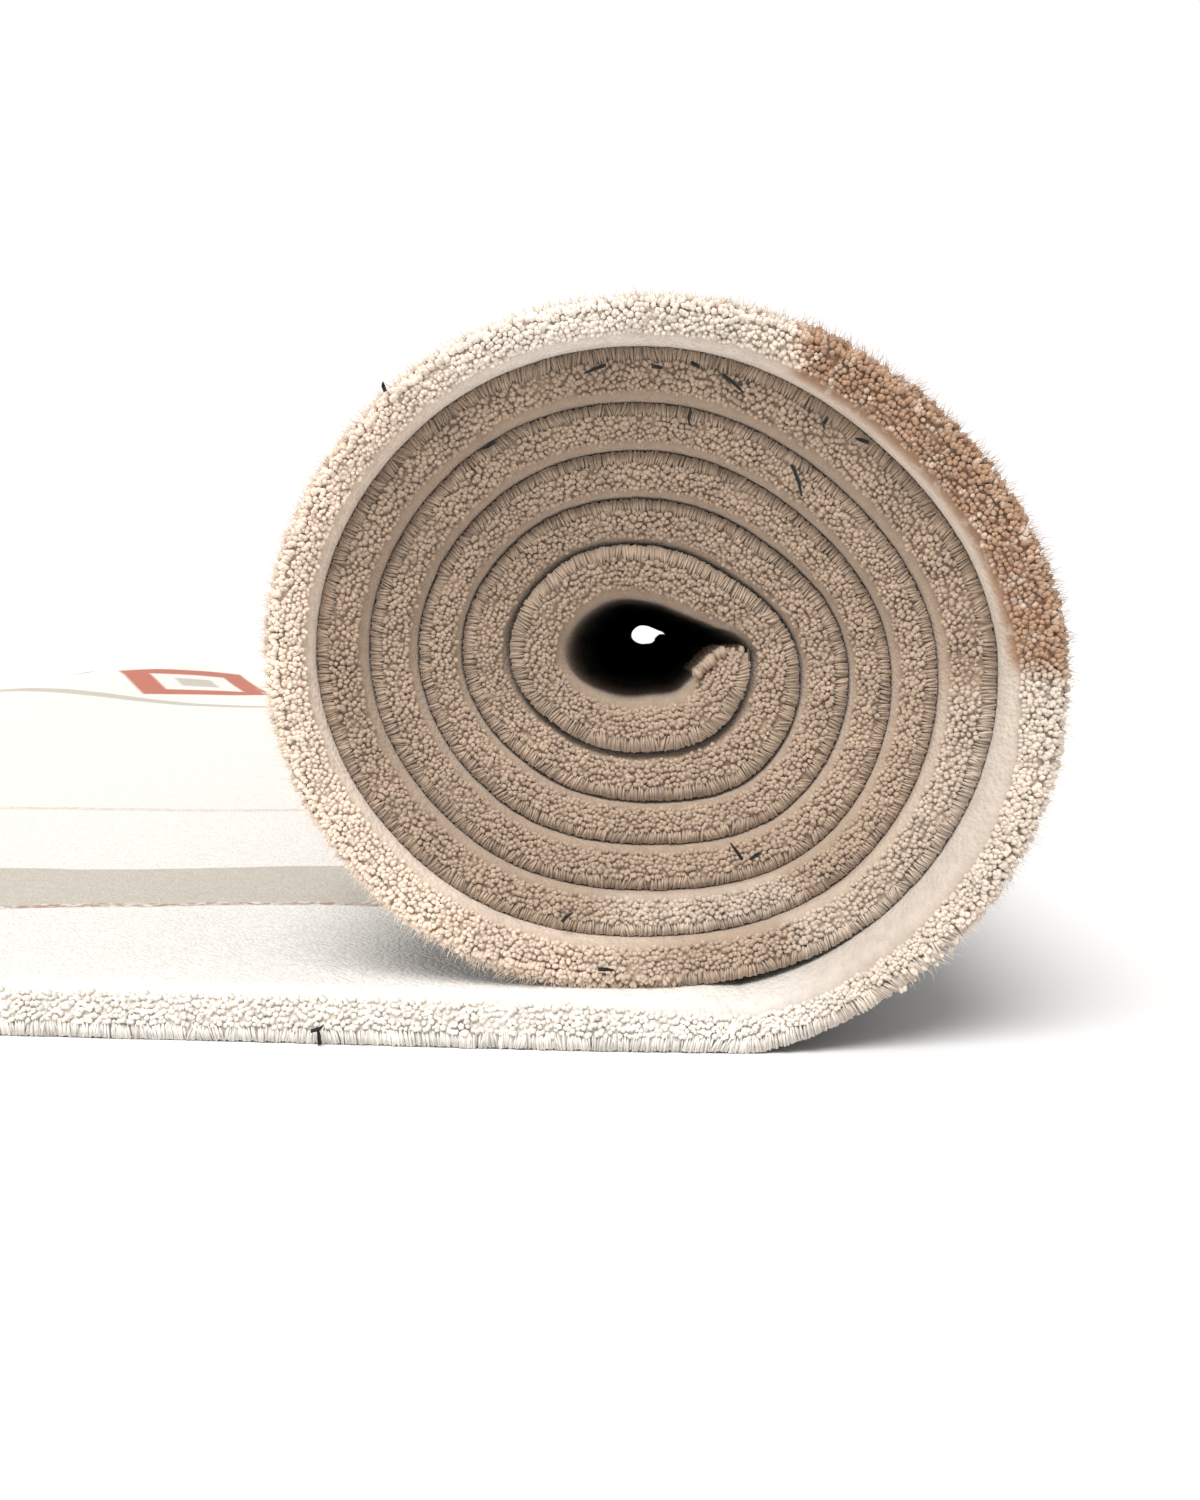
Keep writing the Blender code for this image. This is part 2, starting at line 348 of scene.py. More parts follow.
# %% The pattern, laid on colour by colour
def field_colour(tree, uneven, cloud):
    """Off-white on the lead; cream on the outer turn, with painted shade low on the right and painted light
    on top; inside the roll a patchy beige that is partly painted shade.
    """
    colour = OFF_WHITE
    for start, end, laid_colour in OUTER_CREAM_AND_PAINTED_LIGHT:
        colour = paint(tree, colour, band(tree, uneven, wound_to(start), wound_to(end), 25 * MM), laid_colour)
    # Partly painted shade: inside the roll the field turns to a darker beige, in part the wool's own colour
    # and in part the shade the inner turns lie in.
    rolled = remap(tree, uneven, wound_to(0.9), wound_to(1.02))
    sandy = calc(tree, "MULTIPLY", remap(tree, cloud, 0.45, 0.75, high=0.55), rolled)
    return paint(tree, paint(tree, colour, rolled, BEIGE_AND_PAINTED_SHADE), sandy, SAND)


def stripes(tree, across, along, wander, speck, below):
    """One broad stripe and two thin broken lines, all a little wavy."""
    shift = remap(tree, along, ROLL_START - 220 * MM, ROLL_START - 90 * MM, STRIPE_SHIFT, -STRIPE_SHIFT,
                  kind="SMOOTHSTEP")
    wavy = calc(tree, "MULTIPLY_ADD", wander, 14 * MM, calc(tree, "ADD", across, shift))
    colour = paint(tree, below, band(tree, wavy, *STRIPE, 1.5 * MM), STRIPE_GREY)
    broken = remap(tree, speck, 0.35, 0.6)
    for line, laid_colour, strength in ((BROWN_LINE, LINE_BROWN, 0.9), (THIN_LINE, FAINT_LINE, 0.7)):
        drawn = calc(tree, "MULTIPLY", band(tree, wavy, *line, 1.2 * MM), broken)
        colour = paint(tree, colour, calc(tree, "MULTIPLY", drawn, strength), laid_colour)
    return colour


def lozenge_border(tree, across, along, below):
    """A plain border near the far edge: open terracotta lozenges round grey beige ones, over a bar."""
    colour = paint(tree, below, band(tree, across, *BORDER_BAR, 6 * MM), STRIPE_GREY)
    step = calc(tree, "PINGPONG", calc(tree, "ADD", along, LOZENGE_PITCH), LOZENGE_PITCH)
    height = calc(tree, "ABSOLUTE", calc(tree, "SUBTRACT", across, LOZENGE_MIDDLE))
    reach = calc(tree, "MULTIPLY_ADD", height, LOZENGE_SLOPE, step)
    colour = paint(tree, colour, band(tree, reach, *LOZENGE_FRAME, 4 * MM), TERRACOTTA)
    return paint(tree, colour, band(tree, reach, -1.0, LOZENGE_HEART, 4 * MM), STRIPE_GREY)


def edge_patches(tree, across, uneven, speck, below):
    """The brown patch and the paler ones, which only colour the near edge's yarn."""
    colour = below
    near_edge = band(tree, across, -50 * MM, PATCH_WIDTH, 2 * MM)
    patchy = remap(tree, speck, 0.25, 0.48)
    for zones, laid_colour, strength in (((BROWN_PATCH,), PATCH_BROWN, patchy), (PALE_PATCHES, PALE_GREY, 0.45)):
        for zone in zones:
            mask = calc(tree, "MULTIPLY", band(tree, uneven, *zone, 4 * MM), near_edge)
            colour = paint(tree, colour, calc(tree, "MULTIPLY", mask, strength), laid_colour)
    return colour


# %% Cut wool pile
TUFT_GRAIN = 1.3 * MM       # one yarn end
FIBRE_GRAIN = 0.45 * MM     # drawn coarser than the 0.03 mm of a wool fibre, to show at all


def wool_material(name, side_lines):
    """side_lines draws the fine lines of a strand's own fibres."""
    material, tree, shader = new_material(name, 0.92, Sheen_Weight=0.25, Sheen_Roughness=0.5, IOR=1.5)
    place = attribute(tree, "rug_place", "Vector")
    across, along, depth = add(tree, "ShaderNodeSeparateXYZ", {0: place}).outputs
    cloud = noise(tree, place, 60 * MM, 3.0)
    speck = noise(tree, place, 3.5 * MM, 4.0)
    wander = calc(tree, "SUBTRACT", cloud, 0.5)
    uneven = calc(tree, "MULTIPLY_ADD", wander, 50 * MM, along)
    colour = field_colour(tree, uneven, cloud)
    colour = stripes(tree, across, along, wander, speck, colour)
    colour = lozenge_border(tree, across, along, colour)
    colour = edge_patches(tree, across, uneven, speck, colour)

    # The shade attribute holds each strand's own random tone and, on the pile body, painted shade inside the
    # roll and on the crushed shoulder.
    value = calc(tree, "MULTIPLY", remap(tree, speck, 0.3, 0.7, 0.9, 1.05), attribute(tree, "shade"))
    colour = add(tree, "ShaderNodeHueSaturation", {"Color": colour, "Value": value}).outputs[0]
    # Painted shade: towards the yarn roots and under the edge knobs the colour is mixed towards a warm,
    # darker tint.
    painted_gap_colour = add(tree, "ShaderNodeMix", {0: 1.0, 6: colour, 7: PAINTED_GAP_SHADE}, data_type="RGBA",
               blend_type="MULTIPLY").outputs[2]
    painted_gap_share = remap(tree, attribute(tree, "clear_of_painted_shade"), 0.0, 1.0, 0.52, 0.0)
    tree.links.new(paint(tree, colour, painted_gap_share, painted_gap_colour), shader.inputs["Base Color"])
    relief, height = wool_relief(tree, place, side_lines)
    bump = add(tree, "ShaderNodeBump", {"Strength": 0.8, "Distance": height, "Height": relief}).outputs[0]
    tree.links.new(bump, shader.inputs["Normal"])
    return material


def wool_relief(tree, place, side_lines):
    """Height and depth of the fine relief: drawn out fibres on a strand, small domes on the surface."""
    stretch = (1, 1, 0.15 if side_lines else 1)
    drawn = add(tree, "ShaderNodeVectorMath", {0: place, 1: stretch}, operation="MULTIPLY").outputs[0]
    fibre = noise(tree, drawn, FIBRE_GRAIN, 2.0)
    if side_lines:
        return fibre, 0.3 * MM
    cells = add(tree, "ShaderNodeTexVoronoi", {"Vector": place, "Scale": 1 / TUFT_GRAIN}).outputs[0]
    domes = calc(tree, "SUBTRACT", 1.0, cells)
    return calc(tree, "MULTIPLY_ADD", fibre, 0.5, domes), 0.5 * MM


WOOL_SURFACE = wool_material("cut_wool_pile", side_lines=False)
WOOL_YARN = wool_material("wool_yarn", side_lines=True)
print("wool materials:", WOOL_SURFACE.name, "and", WOOL_YARN.name)

# %% [markdown]
# ## Dark backing and black thread
# The backing is a coarse woven cloth, dyed charcoal and glued on with latex. It is matt and a little
# fuzzy. Its threads are 1 mm apart; they are drawn 3 mm apart here, so that the weave shows from arm's
# length. The black thread is spun and twisted, with no gloss, so it reads as a dark fleck.

# %% Glued backing cloth and black yarn
THREAD_PITCH = 3.0 * MM
WAVES_PER_METRE = 1 / (THREAD_PITCH * math.pi)


def backing_material():
    material, tree, shader = new_material("glued_backing_cloth", 0.95, Sheen_Weight=0.1)
    place = attribute(tree, "rug_place", "Vector")
    look = {"Vector": place, "Scale": WAVES_PER_METRE, "Distortion": 1.5, "Detail": 2.0, "Detail Scale": 0.6}
    warp, weft = (add(tree, "ShaderNodeTexWave", look, bands_direction=way).outputs[1] for way in "XY")
    weave = calc(tree, "MAXIMUM", warp, weft)
    worn = noise(tree, place, 120 * MM, 4.0)
    share = remap(tree, calc(tree, "MULTIPLY_ADD", weave, 0.6, worn), 0.4, 1.2)
    colour = paint(tree, linear("2B2827"), share, linear("57514D"))
    tree.links.new(colour, shader.inputs["Base Color"])
    bump = add(tree, "ShaderNodeBump", {"Strength": 0.7, "Distance": 0.4 * MM, "Height": weave}).outputs[0]
    tree.links.new(bump, shader.inputs["Normal"])
    return material


BACKING_CLOTH = backing_material()
BLACK_YARN = plain_material("black_yarn", "0F0D0E", 0.9, Sheen_Weight=0.05)
print("backing threads are drawn", THREAD_PITCH / MM, "mm apart")

# %% [markdown]
# ## The two cloths as closed sheets
# A sheet that follows a winding is a row of cross-sections, one every few millimetres, joined to its
# neighbours. Each section is a ring of (across, depth) pairs. The pile's ring is rounded where its
# edge yarn leans out; the backing's ring is a thin flat one, a little narrower than the pile.

# %% Build a sheet from its sections
SHARP_EDGE = math.radians(55)


def finish_piece(name, points, faces, place, shade, clear_of_painted_shade, material):
    """Makes a mesh that knows its rug places, shades and how clear it is of painted gap shade, and puts it in
    the scene as a piece.
    """
    mesh = bpy.data.meshes.new(name)
    mesh.from_pydata(points.tolist(), [], faces)
    spots = mesh.attributes.new("rug_place", "FLOAT_VECTOR", "POINT")
    spots.data.foreach_set("vector", np.ascontiguousarray(place, np.float32).ravel())
    for attribute, values in (("shade", shade), ("clear_of_painted_shade", clear_of_painted_shade)):
        layer = mesh.attributes.new(attribute, "FLOAT", "POINT")
        layer.data.foreach_set("value", np.broadcast_to(values, len(points)).astype(np.float32))
    mesh.materials.append(material)
    mesh.update()
    mesh.shade_smooth()
    piece = bpy.data.objects.new(name, mesh)
    bpy.context.scene.collection.objects.link(piece)
    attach(piece, "root")
    return piece


def section_sheet(name, along, across, depth, material, shade=1.0, clear_of_painted_shade=1.0):
    """A closed sheet through its sections. across and depth have a row for each value of along."""
    count, ring = across.shape
    spread = np.repeat(along[:, None], ring, axis=1)
    points = room_place(spread.ravel(), across.ravel(), depth.ravel())
    numbers = np.arange(count * ring).reshape(count, ring)
    near, far = numbers[:-1], numbers[1:]
    quads = np.stack((near, far, np.roll(far, -1, axis=1), np.roll(near, -1, axis=1)), axis=-1)
    faces = quads.reshape(-1, 4).tolist() + [numbers[0].tolist(), numbers[-1][::-1].tolist()]
    place = np.stack((across.ravel(), spread.ravel(), depth.ravel()), axis=1)
    tips = np.broadcast_to(clear_of_painted_shade, across.shape).ravel()
    piece = finish_piece(name, points, faces, place, shade, tips, material)
    piece.data.set_sharp_from_angle(angle=SHARP_EDGE)
    print(name, "-", len(points), "points, mm thick at the lead's end:", round(np.ptp(depth[0]) / MM, 1))
    return piece


# %% [markdown]
# ## The pile's body
# It carries the colours and the velvety surface, and it fills the space behind the edge yarn. Where
# the outer turn leaves the floor its edge is crushed into a wide smooth shoulder, so the shoulder's
# width and the height at which single yarn ends stop showing both change along the rug.

# %% Pile body
FOOT = BACKING_THICKNESS
EDGE_INSET = 0.9 * MM       # the body stands this far behind the edge yarn
ACROSS_PARTS = (0.02, 0.07, 0.14, 0.25, 0.36, 0.46, 0.54, 0.62, 0.7, 0.78, 0.85, 0.92, 0.96, 0.99)


def crushed(along):
    """1 on the outer turn's wide smooth shoulder, 0 where the edge is upright."""
    start, end = ROLL_START - 20 * MM, wound_to(95 / 360)
    rise = np.clip((along - start) / (60 * MM), 0, 1)
    fall = np.clip((end - along) / (50 * MM), 0, 1)
    return rise * fall


def shoulder_width(along):
    """How far the pile's edge is rounded, across the rug."""
    return (8 + 7 * crushed(along)) * MM


def tips_end(along):
    """Share of the pile's height above which single yarn ends no longer show."""
    return 0.8 - 0.25 * crushed(along)


def knobs_end(along):
    """Share of the rounded edge that single yarn ends cover."""
    return np.arcsin((tips_end(along) - SIDE_SHARE) / (1 - SIDE_SHARE)) * 2 / math.pi


def edge_profile(along, share):
    """(inset across, depth) of the pile's edge, share 0 at the top of the side yarn and 1 at the face."""
    high = thickness(along)
    low = FOOT + SIDE_SHARE * (high - FOOT)
    rise = np.sin(share * math.pi / 2)
    inset = EDGE_INSET + shoulder_width(along) * (1 - np.sqrt(np.maximum(1 - rise ** 2, 0)))
    return inset, low + (high - low) * rise


along_end = np.geomspace(0.3 * MM, 10 * MM, 8)
along_lead = np.linspace(14 * MM, ROLL_START - 80 * MM, 120, endpoint=False)
along_roll = np.linspace(ROLL_START - 80 * MM, RUG_LENGTH - 1 * MM, 900)
along_pile = np.concatenate((along_end, along_lead, along_roll))
column = np.ones_like(along_pile)
shares = np.linspace(0, 1, 8)
front = [(EDGE_INSET * column, FOOT * column)]
front += [edge_profile(along_pile, share * column) for share in shares]
middle = [(part * RUG_WIDTH * column, thickness(along_pile)) for part in ACROSS_PARTS]
back = [(RUG_WIDTH - across, depth) for across, depth in reversed(front)]
under = [(part * RUG_WIDTH * column, FOOT * column) for part in reversed(ACROSS_PARTS)]
sections = np.array(front + middle + back + under)
# Painted shade: below the knobs the pile's edge gets part of the warm, darker gap colour, where shade falls
# under the yarn ends.
edge_clear_of_painted_shade = [0.55 + 0.45 * np.clip((share - knobs_end(along_pile)) / 0.12, 0, 1) for share in (0, *shares)]
flat_clear_of_painted_shade = [column] * len(middle)
ring_clear_of_painted_shade = np.array(edge_clear_of_painted_shade + flat_clear_of_painted_shade + edge_clear_of_painted_shade[::-1] + flat_clear_of_painted_shade).T
painted_roll_shade_ramp = np.clip((along_pile - ROLL_START) / (60 * MM), 0, 1)    # painted shade: the pile's colour is darker inside the roll
# Painted shade: the pile body's colour is darker inside the roll, and darker still on the outer turn's
# crushed shoulder, where shade falls.
body_painted_shade = np.repeat(0.98 - 0.1 * painted_roll_shade_ramp - 0.14 * crushed(along_pile), ring_clear_of_painted_shade.shape[1])
pile_body = section_sheet("pile_body", along_pile, sections[:, 0].T, sections[:, 1].T, WOOL_SURFACE,
                          body_painted_shade, ring_clear_of_painted_shade)

# %% Backing sheet
BACKING_INSET = 1.0 * MM    # the edge yarn hangs over it, so that little of it shows
BACKING_GAP = 0.05 * MM     # between the backing's top face and the pile's foot
along_backing = np.concatenate((np.linspace(0, ROLL_START - 40 * MM, 100, endpoint=False),
                                np.linspace(ROLL_START - 40 * MM, RUG_LENGTH, 560)))
edges = [BACKING_INSET] + [part * RUG_WIDTH for part in ACROSS_PARTS] + [RUG_WIDTH - BACKING_INSET]
ring_across = np.array(edges + edges[::-1])
ring_depth = np.array([BACKING_THICKNESS - BACKING_GAP] * len(edges) + [0.0] * len(edges))
backing_sheet = section_sheet("backing_sheet", along_backing, np.tile(ring_across, (len(along_backing), 1)),
                              np.tile(ring_depth, (len(along_backing), 1)), BACKING_CLOTH)

# %% [markdown]
# ## One strand of yarn, modelled by hand
# At the edge one sees single strands: from the side near the backing, and end on above that. All of
# them are copies of three small shapes. Each starts as a circle on the floor that is extruded up a
# few times and resized on the way: a knob for a cut yarn end, a strand for its side and a hair for a
# loose fibre. They have few faces, because there are tens of thousands of them.

# %% Model the knob, the strand and the hair
def strand_template(name, sides, rings):
    """Points (1 wide, 1 high) and triangles of one strand. rings gives (height, radius) up its length."""
    bpy.ops.object.select_all(action="DESELECT")
    bpy.ops.mesh.primitive_circle_add(vertices=sides, radius=rings[0][1], fill_type="NGON")
    bpy.ops.object.mode_set(mode="EDIT")
    bpy.ops.mesh.select_all(action="SELECT")
    for (height, width), (next_height, next_width) in zip(rings, rings[1:]):
        bpy.ops.mesh.extrude_region_move(TRANSFORM_OT_translate={"value": (0, 0, next_height - height)})
        growth = next_width / width
        bpy.ops.transform.resize(value=(growth, growth, 1))
    bpy.ops.mesh.select_all(action="SELECT")
    bpy.ops.mesh.normals_make_consistent(inside=False)
    bpy.ops.mesh.quads_convert_to_tris()
    bpy.ops.object.mode_set(mode="OBJECT")
    model = bpy.context.object
    points = np.array([vertex.co[:] for vertex in model.data.vertices])
    triangles = np.array([face.vertices[:] for face in model.data.polygons])
    bpy.data.objects.remove(model)
    print(name, "has", len(triangles), "triangles")
    return points, triangles


KNOB = strand_template("knob", 5, ((0, 0.38), (0.62, 0.5), (1.0, 0.24)))
STRAND = strand_template("strand", 3, ((0, 0.5), (0.6, 0.5), (1.0, 0.22)))
HAIR = strand_template("hair", 3, ((0, 0.5), (0.5, 0.45), (1.0, 0.12)))

# %% [markdown]
# ## Planting yarn
# Planting is one function. For every strand it takes a root in the room, the way it points, its
# length and width, and how it bends, and it sets a copy of the template there. The copies are joined
# into one mesh at once, which is far quicker than thousands of objects.

# %% Plant copies of a strand
def unit(vectors):
    return vectors / np.linalg.norm(vectors, axis=-1, keepdims=True)


def plant(name, template, spots, up, height, width, bend=0.0, shade=1.0, root_clear_of_painted_shade=0.0, material=None,
          buried=0.0):
    """Joins one copy of the template for each spot (along, across, depth). up and bend are directions
    in the room, and buried is the share of the copy's height that lies below its spot."""
    points, triangles = template
    along, across, depth = spots
    count, size = len(along), len(points)
    up = unit(up)
    roots = room_place(along, across, depth) - up * np.reshape(height * buried, (-1, 1))
    side = unit(np.cross(up, chance.normal(0, 1, (count, 3))))
    front = np.cross(up, side)
    x, y, z = (points[:, axis][None, :, None] for axis in range(3))
    height = np.broadcast_to(height, count)[:, None, None]
    width = np.broadcast_to(width, count)[:, None, None]
    bend = np.broadcast_to(bend, (count, 3))[:, None, :]
    spread = (roots[:, None, :] + up[:, None, :] * height * z + bend * z ** 2
              + side[:, None, :] * width * x + front[:, None, :] * width * y)
    faces = (triangles[None] + size * np.arange(count)[:, None, None]).reshape(-1, 3)
    place = np.empty((count, size, 3))
    place[..., 0] = across[:, None] + points[None, :, 0] * width[..., 0]
    place[..., 1] = along[:, None] + points[None, :, 1] * width[..., 0]
    place[..., 2] = depth[:, None] + points[None, :, 2] * height[..., 0]
    shades = np.repeat(np.broadcast_to(shade, count), size)
    # Painted shade: each strand's colour turns warmer and darker towards its root, where shade falls between
    # the strands.
    tips = root_clear_of_painted_shade + (1 - root_clear_of_painted_shade) * np.tile(np.clip(points[:, 2] * 1.3, 0, 1), count)
    piece = finish_piece(name, spread.reshape(-1, 3), faces.tolist(), place.reshape(-1, 3), shades, tips,
                         material)
    print(name, "-", count, "strands,", len(faces), "triangles")
    return piece


def stations(start, end, pitch, share=0.35):
    """Places along the rug about a pitch apart, each a little off."""
    places = np.arange(start, end, pitch)
    return places + chance.uniform(-share, share, len(places)) * pitch


# %% [markdown]
# ## Edge yarn seen from the side
# Next to the backing the outermost tufts show their sides as fine upright lines, and they hang over
# its edge, so that it shows as a thin dark line. Yarn is punched in rows, so a few tufts at a time
# lean the same way and share a tone. We draw those blocks first, and every strand looks up its own.

# %% Side yarn along the edges
DENSE_START = 740 * MM      # the rest of the lead is planted more thinly
BLOCKS = np.cumsum(chance.uniform(2.0, 5.0, 1100)) * MM
BLOCK_LEAN = chance.normal(0, 0.17, len(BLOCKS))
BLOCK_PUSH = chance.normal(0, 0.35, len(BLOCKS)) * MM
BLOCK_TONE = chance.uniform(0.86, 1.08, len(BLOCKS))
BLOCK_TONE *= np.where(chance.uniform(0, 1, len(BLOCKS)) > 0.94, 1.12, 1)    # one block in 16 is paler
OUTWARD = np.array((0.0, -1.0, 0.0))


def block_at(along):
    return np.searchsorted(BLOCKS, along).clip(0, len(BLOCKS) - 1)


def rim(along):
    """1 on the outside of the outer turn, where nothing presses on the edge and it frays."""
    turns_in = np.interp(along, ALONG, ROUTE_TURNS)
    return np.clip((turns_in - 0.1) / 0.08, 0, 1) * np.clip((1.02 - turns_in) / 0.05, 0, 1)


def side_yarn(name, start, end, pitch, width, layers, near=True):
    along = np.concatenate([stations(start, end, pitch) for layer in range(layers)])
    layer = np.repeat(np.arange(layers), len(along) // layers)
    held = rim(along) < 0.5
    along, layer = along[held], layer[held]
    block = block_at(along)
    inset = (0.8 - 0.4 * layer + chance.uniform(0, 0.35, len(along))) * MM - BLOCK_PUSH[block] * 0.5
    across = inset if near else RUG_WIDTH - inset
    outward = OUTWARD if near else -OUTWARD
    depth = FOOT + chance.uniform(-0.7, -0.1, len(along)) * MM
    ahead, pile_side = room_directions(along, across)
    lean = (BLOCK_LEAN[block] + chance.normal(0, 0.06, len(along)))[:, None]
    up = pile_side + ahead * lean + outward * chance.uniform(0.05, 0.24, (len(along), 1))
    height = (SIDE_SHARE * thickness(along) + 0.3 * MM) * chance.uniform(0.88, 1.12, len(along))
    bend = outward * chance.uniform(-0.5, 0.7, (len(along), 1)) * MM
    shade = BLOCK_TONE[block] * chance.uniform(0.94, 1.05, len(along))
    return plant(name, STRAND, (along, across, depth), up, height, width, bend, shade, 0.8, WOOL_YARN)


side_pieces = [side_yarn("side_yarn_front", DENSE_START, RUG_LENGTH - 3 * MM, 0.5 * MM, 0.8 * MM, 2),
               side_yarn("side_yarn_lead", 2 * MM, DENSE_START, 1.1 * MM, 1.3 * MM, 1),
               side_yarn("side_yarn_back", 2 * MM, RUG_LENGTH - 3 * MM, 1.5 * MM, 1.8 * MM, 1, near=False)]

# %% [markdown]
# ## Yarn ends
# The next rows of tufts splay outwards, so their cut ends face the viewer: a pebbly band of knobs
# about 1.6 mm wide. They sit on the rounded edge of the pile body and point straight out of it.

# %% Knobs on the rounded edge
KNOB_BURIED = 0.45          # share of a knob's height inside the pile's body
FACING = 0.7                # yarn ends splay out a little more than the edge they stand on


def edge_knobs(name, start, end, pitch, rows, width, height, near=True):
    along, row_share = [], []
    for row in range(rows):
        places = stations(start, end, pitch) + pitch * 0.5 * (row % 2)
        along.append(places)
        row_share.append((row + 0.4 + chance.normal(0, 0.3, len(places))) / rows)
    along = np.concatenate(along).clip(0.5 * MM, RUG_LENGTH - 1 * MM)
    row_share = np.concatenate(row_share)
    block = block_at(along + 1.5 * MM)
    share = (knobs_end(along) * row_share).clip(0, 0.9)
    inset, depth = edge_profile(along, share)
    inset = inset - BLOCK_PUSH[block] * (1 - row_share)
    across = inset if near else RUG_WIDTH - inset
    outward = OUTWARD if near else -OUTWARD
    ahead, pile_side = room_directions(along, across)
    slope = (share * FACING * math.pi / 2 + chance.normal(0, 0.13, len(along)))[:, None]
    sideways = (0.6 * BLOCK_LEAN[block] + chance.normal(0, 0.13, len(along)))[:, None]
    up = unit(outward * np.cos(slope) + pile_side * np.sin(slope) + ahead * sideways)
    height = height * chance.uniform(0.75, 1.3, len(along))
    bend = chance.normal(0, 0.15 * MM, (len(along), 3))
    shade = (0.5 + 0.5 * BLOCK_TONE[block]) * chance.uniform(0.88, 1.07, len(along))
    width = width * chance.uniform(0.78, 1.15, len(along))
    spots = (along, across, depth)
    return plant(name, KNOB, spots, up, height, width, bend, shade, 0.0, WOOL_YARN, KNOB_BURIED)


FINE_KNOB = dict(pitch=1.15 * MM, rows=6, width=1.65 * MM, height=2.4 * MM)
COARSE_KNOB = dict(pitch=2.6 * MM, rows=3, width=3.5 * MM, height=3.6 * MM)
STRETCHES = (("outer_turn", DENSE_START, wound_to(0.98)), ("second_turn", wound_to(0.98), wound_to(2.2)),
             ("middle_turns", wound_to(2.2), wound_to(3.8)), ("inner_turns", wound_to(3.8), RUG_LENGTH))
knob_pieces = [edge_knobs("knobs_" + where, start, end, **FINE_KNOB) for where, start, end in STRETCHES]
knob_pieces.append(edge_knobs("knobs_lead", 1 * MM, DENSE_START, **COARSE_KNOB))
knob_pieces.append(edge_knobs("knobs_back", 1 * MM, RUG_LENGTH, **COARSE_KNOB, near=False))

# %% [markdown]
# ## Yarn at the rug's two ends
# The lead's end and the inner end are rounded off like the sides, and their tufts splay too. Each is
# a quarter of an ellipse, from the flat end face up to the top of the pile.

# %% Knobs on the two ends
def end_knobs(name, ahead_sign, stretches, pitch, rows, width, height):
    across, turned = [], []
    for start, end in stretches:
        for row in range(rows):
            places = stations(start, end, pitch) + pitch * 0.5 * (row % 2)
            across.append(places)
            turned.append((row + chance.normal(0.3, 0.25, len(places))) / rows * 1.35 - 0.2)
    across, turned = np.concatenate(across).clip(1 * MM, RUG_WIDTH - 1 * MM), np.concatenate(turned)
    face, turned = np.clip(1 + turned / 0.2, 0.3, 1), np.clip(turned, 0, 1.4)
    if ahead_sign < 0:      # the lead's end
        along = END_ROUNDING * (1 - np.cos(turned)) + 0.3 * MM
    else:
        nose = NOSE_TURN * (1 - np.cos(turned))
        along = np.interp(END_TURNS - nose, ROUTE_TURNS, ALONG) - 0.5 * MM
    depth = thickness(along) * face
    ahead, pile_side = room_directions(along.clip(1 * MM, RUG_LENGTH - 1 * MM), across)
    slope = (turned + chance.normal(0, 0.15, len(along)))[:, None]
    sideways = chance.normal(0, 0.15, (len(along), 1))
    up = unit(ahead * ahead_sign * np.cos(slope) + pile_side * np.sin(slope) + OUTWARD * sideways)
    height = height * chance.uniform(0.75, 1.3, len(along))
    shade = chance.uniform(0.88, 1.07, len(along))
    width = width * chance.uniform(0.78, 1.15, len(along))
    spots = (along, across, depth)
    return plant(name, KNOB, spots, up, height, width, 0.0, shade, 0.0, WOOL_YARN, KNOB_BURIED)


EYE_SIGHT = 90 * MM         # how far into the eye the inner end is seen
inner_stretches = ((1 * MM, EYE_SIGHT), (RUG_WIDTH - EYE_SIGHT, RUG_WIDTH - 1 * MM))
lead_stretch = ((1 * MM, RUG_WIDTH - 1 * MM),)
knob_pieces.append(end_knobs("knobs_inner_end", 1, inner_stretches, 1.3 * MM, 11, 1.65 * MM, 2.4 * MM))
knob_pieces.append(end_knobs("knobs_lead_end", -1, lead_stretch, 3.1 * MM, 3, 3.8 * MM, 3.6 * MM))

# %% [markdown]
# ## The frayed rim
# On the outside of the roll nothing holds the edge yarn, so it splays over the backing's edge and
# hides it. More knobs go there, turned outwards, with loose fibres standing out between them.

# %% Knobs and fibres on the outer turn's rim
def rim_places(pitch, layers):
    start, end = wound_to(0.08), wound_to(1.02)
    along = np.concatenate([stations(start, end, pitch, 0.5) for layer in range(layers)])
    return along[chance.uniform(0, 1, len(along)) < rim(along) * 1.5]


def rim_knobs(name, pitch, rows):
    along = rim_places(pitch, rows)
    count = len(along)
    block = block_at(along)
    rise = chance.uniform(-0.05, 1, count)
    depth = rise * SIDE_SHARE * thickness(along)
    across = (0.2 + 1.3 * (1 - rise) ** 2) * MM
    ahead, pile_side = room_directions(along, across)
    slope = ((1 - rise) * 0.85 + chance.normal(0, 0.15, count))[:, None]
    sideways = (0.6 * BLOCK_LEAN[block] + chance.normal(0, 0.15, count))[:, None]
    up = unit(OUTWARD * np.cos(slope) - pile_side * np.sin(slope) + ahead * sideways)
    height = chance.uniform(1.9, 3.0, count) * MM
    shade = (0.5 + 0.5 * BLOCK_TONE[block]) * chance.uniform(0.92, 1.1, count)
    width = chance.uniform(1.3, 1.9, count) * MM
    spots = (along, across, depth)
    return plant(name, KNOB, spots, up, height, width, 0.0, shade, 0.0, WOOL_YARN, KNOB_BURIED)


